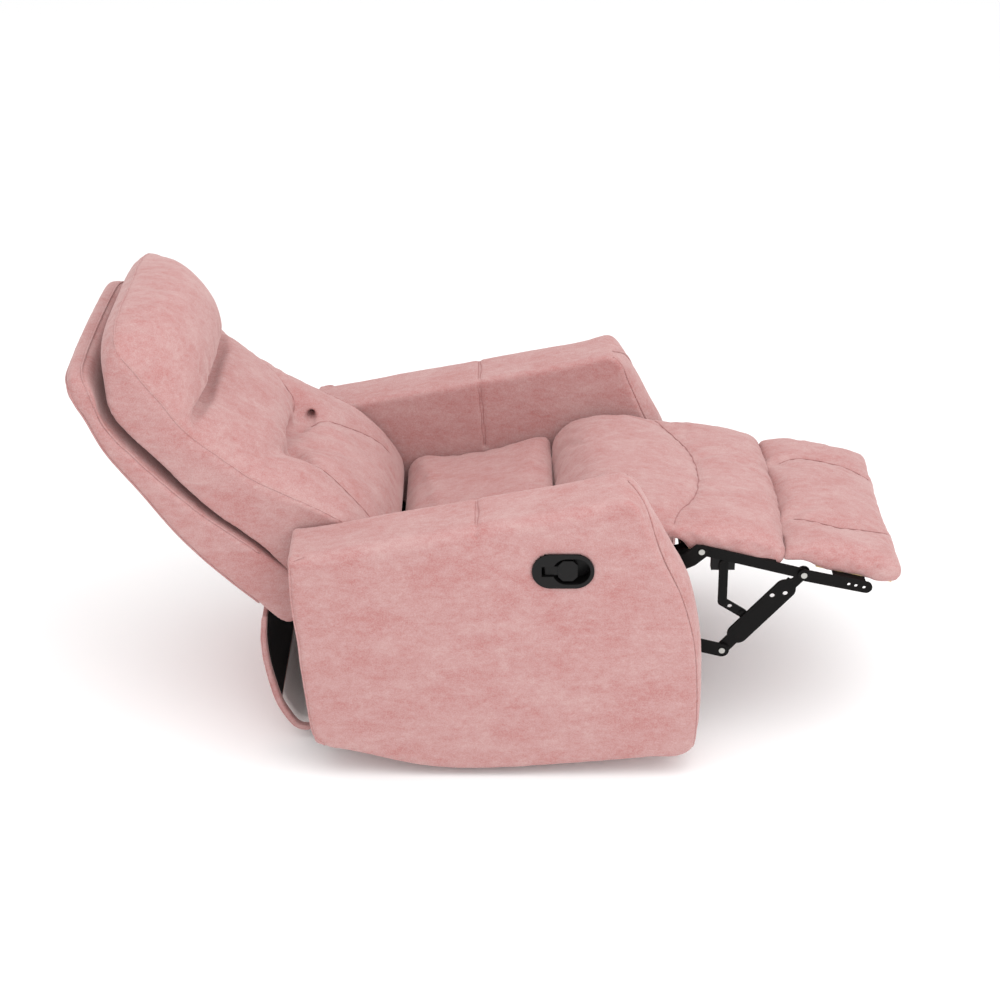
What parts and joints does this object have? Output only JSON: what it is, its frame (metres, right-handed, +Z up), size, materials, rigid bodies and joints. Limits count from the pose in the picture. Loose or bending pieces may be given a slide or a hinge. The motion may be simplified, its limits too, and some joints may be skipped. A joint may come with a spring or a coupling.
{
  "type": "glider nursery chair",
  "caption": "Upholstered swivel glider recliner with padded arms, head pillow, reclining back and fold-out chaise footrest on a hinged steel linkage.",
  "frame": {"origin": "on the floor at the swivel axis, under the middle of the laid-back chair", "axes": "+Z up, the sitter faces -Y, +X is the sitter's left"},
  "size_m": [0.794, 1.597, 0.89],
  "materials": {
    "cover_fabric": "dusty pink chenille velvet",
    "pad_fabric": "dusty pink chenille velvet",
    "black_steel": "black powder coat",
    "zinc_steel": "zinc plated",
    "spring_steel": "oiled spring wire",
    "plywood": "birch plywood",
    "black_plastic": "moulded",
    "glide_plastic": "moulded"
  },
  "bodies": {
    "base": {"base_ring": "black_steel", "base_cross_bars": "black_steel", "base_feet": "glide_plastic", "swivel_bolt": "zinc_steel", "swivel_lower_plate": "zinc_steel", "bearing_cage": "black_plastic", "bearing_balls": "zinc_steel", "swivel_nut": "zinc_steel"},
    "glider_frame": {"swivel_upper_plate": "zinc_steel", "glider_bed": "black_steel", "front_hangers": "black_steel", "rear_hangers": "black_steel", "upper_glide_pins": "zinc_steel"},
    "front_links": {"front_link_left": "black_steel", "front_link_right": "black_steel"},
    "rear_links": {"rear_link_left": "black_steel", "rear_link_right": "black_steel"},
    "chassis": {"lower_glide_pins": "zinc_steel", "chassis_rails": "black_steel", "cross_tubes": "black_steel", "side_plate_left": "black_steel", "side_plate_right": "black_steel", "pivot_bolts": "zinc_steel", "arm_bolts": "zinc_steel", "seat_frame": "black_steel", "seat_springs": "spring_steel", "seat_cushion": "pad_fabric", "seat_front_pad": "pad_fabric", "arm_frame_left": "plywood", "arm_frame_right": "plywood", "arm_cover_left": "cover_fabric", "arm_cover_right": "cover_fabric", "rear_skirt": "cover_fabric", "handle_cup": "black_plastic", "paddle_pin": "zinc_steel"},
    "backrest": {"back_frame": "plywood", "back_shell": "cover_fabric", "back_cushion": "pad_fabric", "head_pillow": "pad_fabric", "back_bracket_left": "black_steel", "back_bracket_right": "black_steel"},
    "leg_panel": {"leg_board": "plywood", "leg_pad": "pad_fabric", "leg_bracket_left": "black_steel", "leg_bracket_right": "black_steel", "foot_pins": "zinc_steel"},
    "lower_links": {"lower_link_left": "black_steel", "lower_link_right": "black_steel", "torque_tube": "black_steel", "knee_pins": "zinc_steel"},
    "long_links": {"long_link_left": "black_steel", "long_link_right": "black_steel", "pad_supports": "black_steel", "support_blocks": "black_plastic"},
    "footrest": {"foot_board": "plywood", "foot_pad": "pad_fabric", "foot_bracket_left": "black_steel", "foot_bracket_right": "black_steel"},
    "paddle": {"release_paddle": "black_plastic"}
  },
  "joints": [
    {"name": "base_swivel", "type": "hinge", "parent": "base", "child": "glider_frame", "pos_m": [0, 0, 0.04], "axis": [0, 0, 1], "continuous": true},
    {"name": "glide_swing", "type": "hinge", "parent": "glider_frame", "child": "front_links", "pos_m": [0, -0.17, 0.2], "axis": [1, 0, 0], "range_deg": [-20, 20]},
    {"name": "glide_rear_swing", "type": "hinge", "parent": "glider_frame", "child": "rear_links", "pos_m": [0, 0.17, 0.2], "axis": [1, 0, 0], "range_deg": [-20, 20]},
    {"name": "glide_level", "type": "hinge", "parent": "front_links", "child": "chassis", "pos_m": [0, -0.17, 0.078], "axis": [1, 0, 0], "range_deg": [-20, 20]},
    {"name": "backrest_recline", "type": "hinge", "parent": "chassis", "child": "backrest", "pos_m": [0, 0.315, 0.33], "axis": [1, 0, 0], "range_deg": [0, 27]},
    {"name": "footrest_fold", "type": "hinge", "parent": "chassis", "child": "leg_panel", "pos_m": [0, -0.4, 0.43], "axis": [1, 0, 0], "range_deg": [0, 86]},
    {"name": "lower_link_turn", "type": "hinge", "parent": "chassis", "child": "lower_links", "pos_m": [0, -0.25, 0.257], "axis": [1, 0, 0], "range_deg": [0, 86]},
    {"name": "long_link_turn", "type": "hinge", "parent": "lower_links", "child": "long_links", "pos_m": [0, -0.45, 0.205], "axis": [1, 0, 0], "range_deg": [-86, 0]},
    {"name": "foot_panel_turn", "type": "hinge", "parent": "leg_panel", "child": "footrest", "pos_m": [0, -0.6, 0.378], "axis": [1, 0, 0], "range_deg": [0, 6.1]},
    {"name": "release_pull", "type": "hinge", "parent": "chassis", "child": "paddle", "pos_m": [-0.383, -0.097, 0.463], "axis": [0, 0, -1], "range_deg": [0, 25], "stiffness_Nm_per_rad": 0.4, "springref_deg": -8.59}
  ],
  "couplings": [
    {"joint": "glide_rear_swing", "follows": "glide_swing", "ratio": 1},
    {"joint": "glide_level", "follows": "glide_swing", "ratio": -1},
    {"joint": "lower_link_turn", "follows": "footrest_fold", "ratio": 1},
    {"joint": "long_link_turn", "follows": "footrest_fold", "ratio": -1},
    {"joint": "foot_panel_turn", "follows": "footrest_fold", "ratio": 0.07}
  ]
}
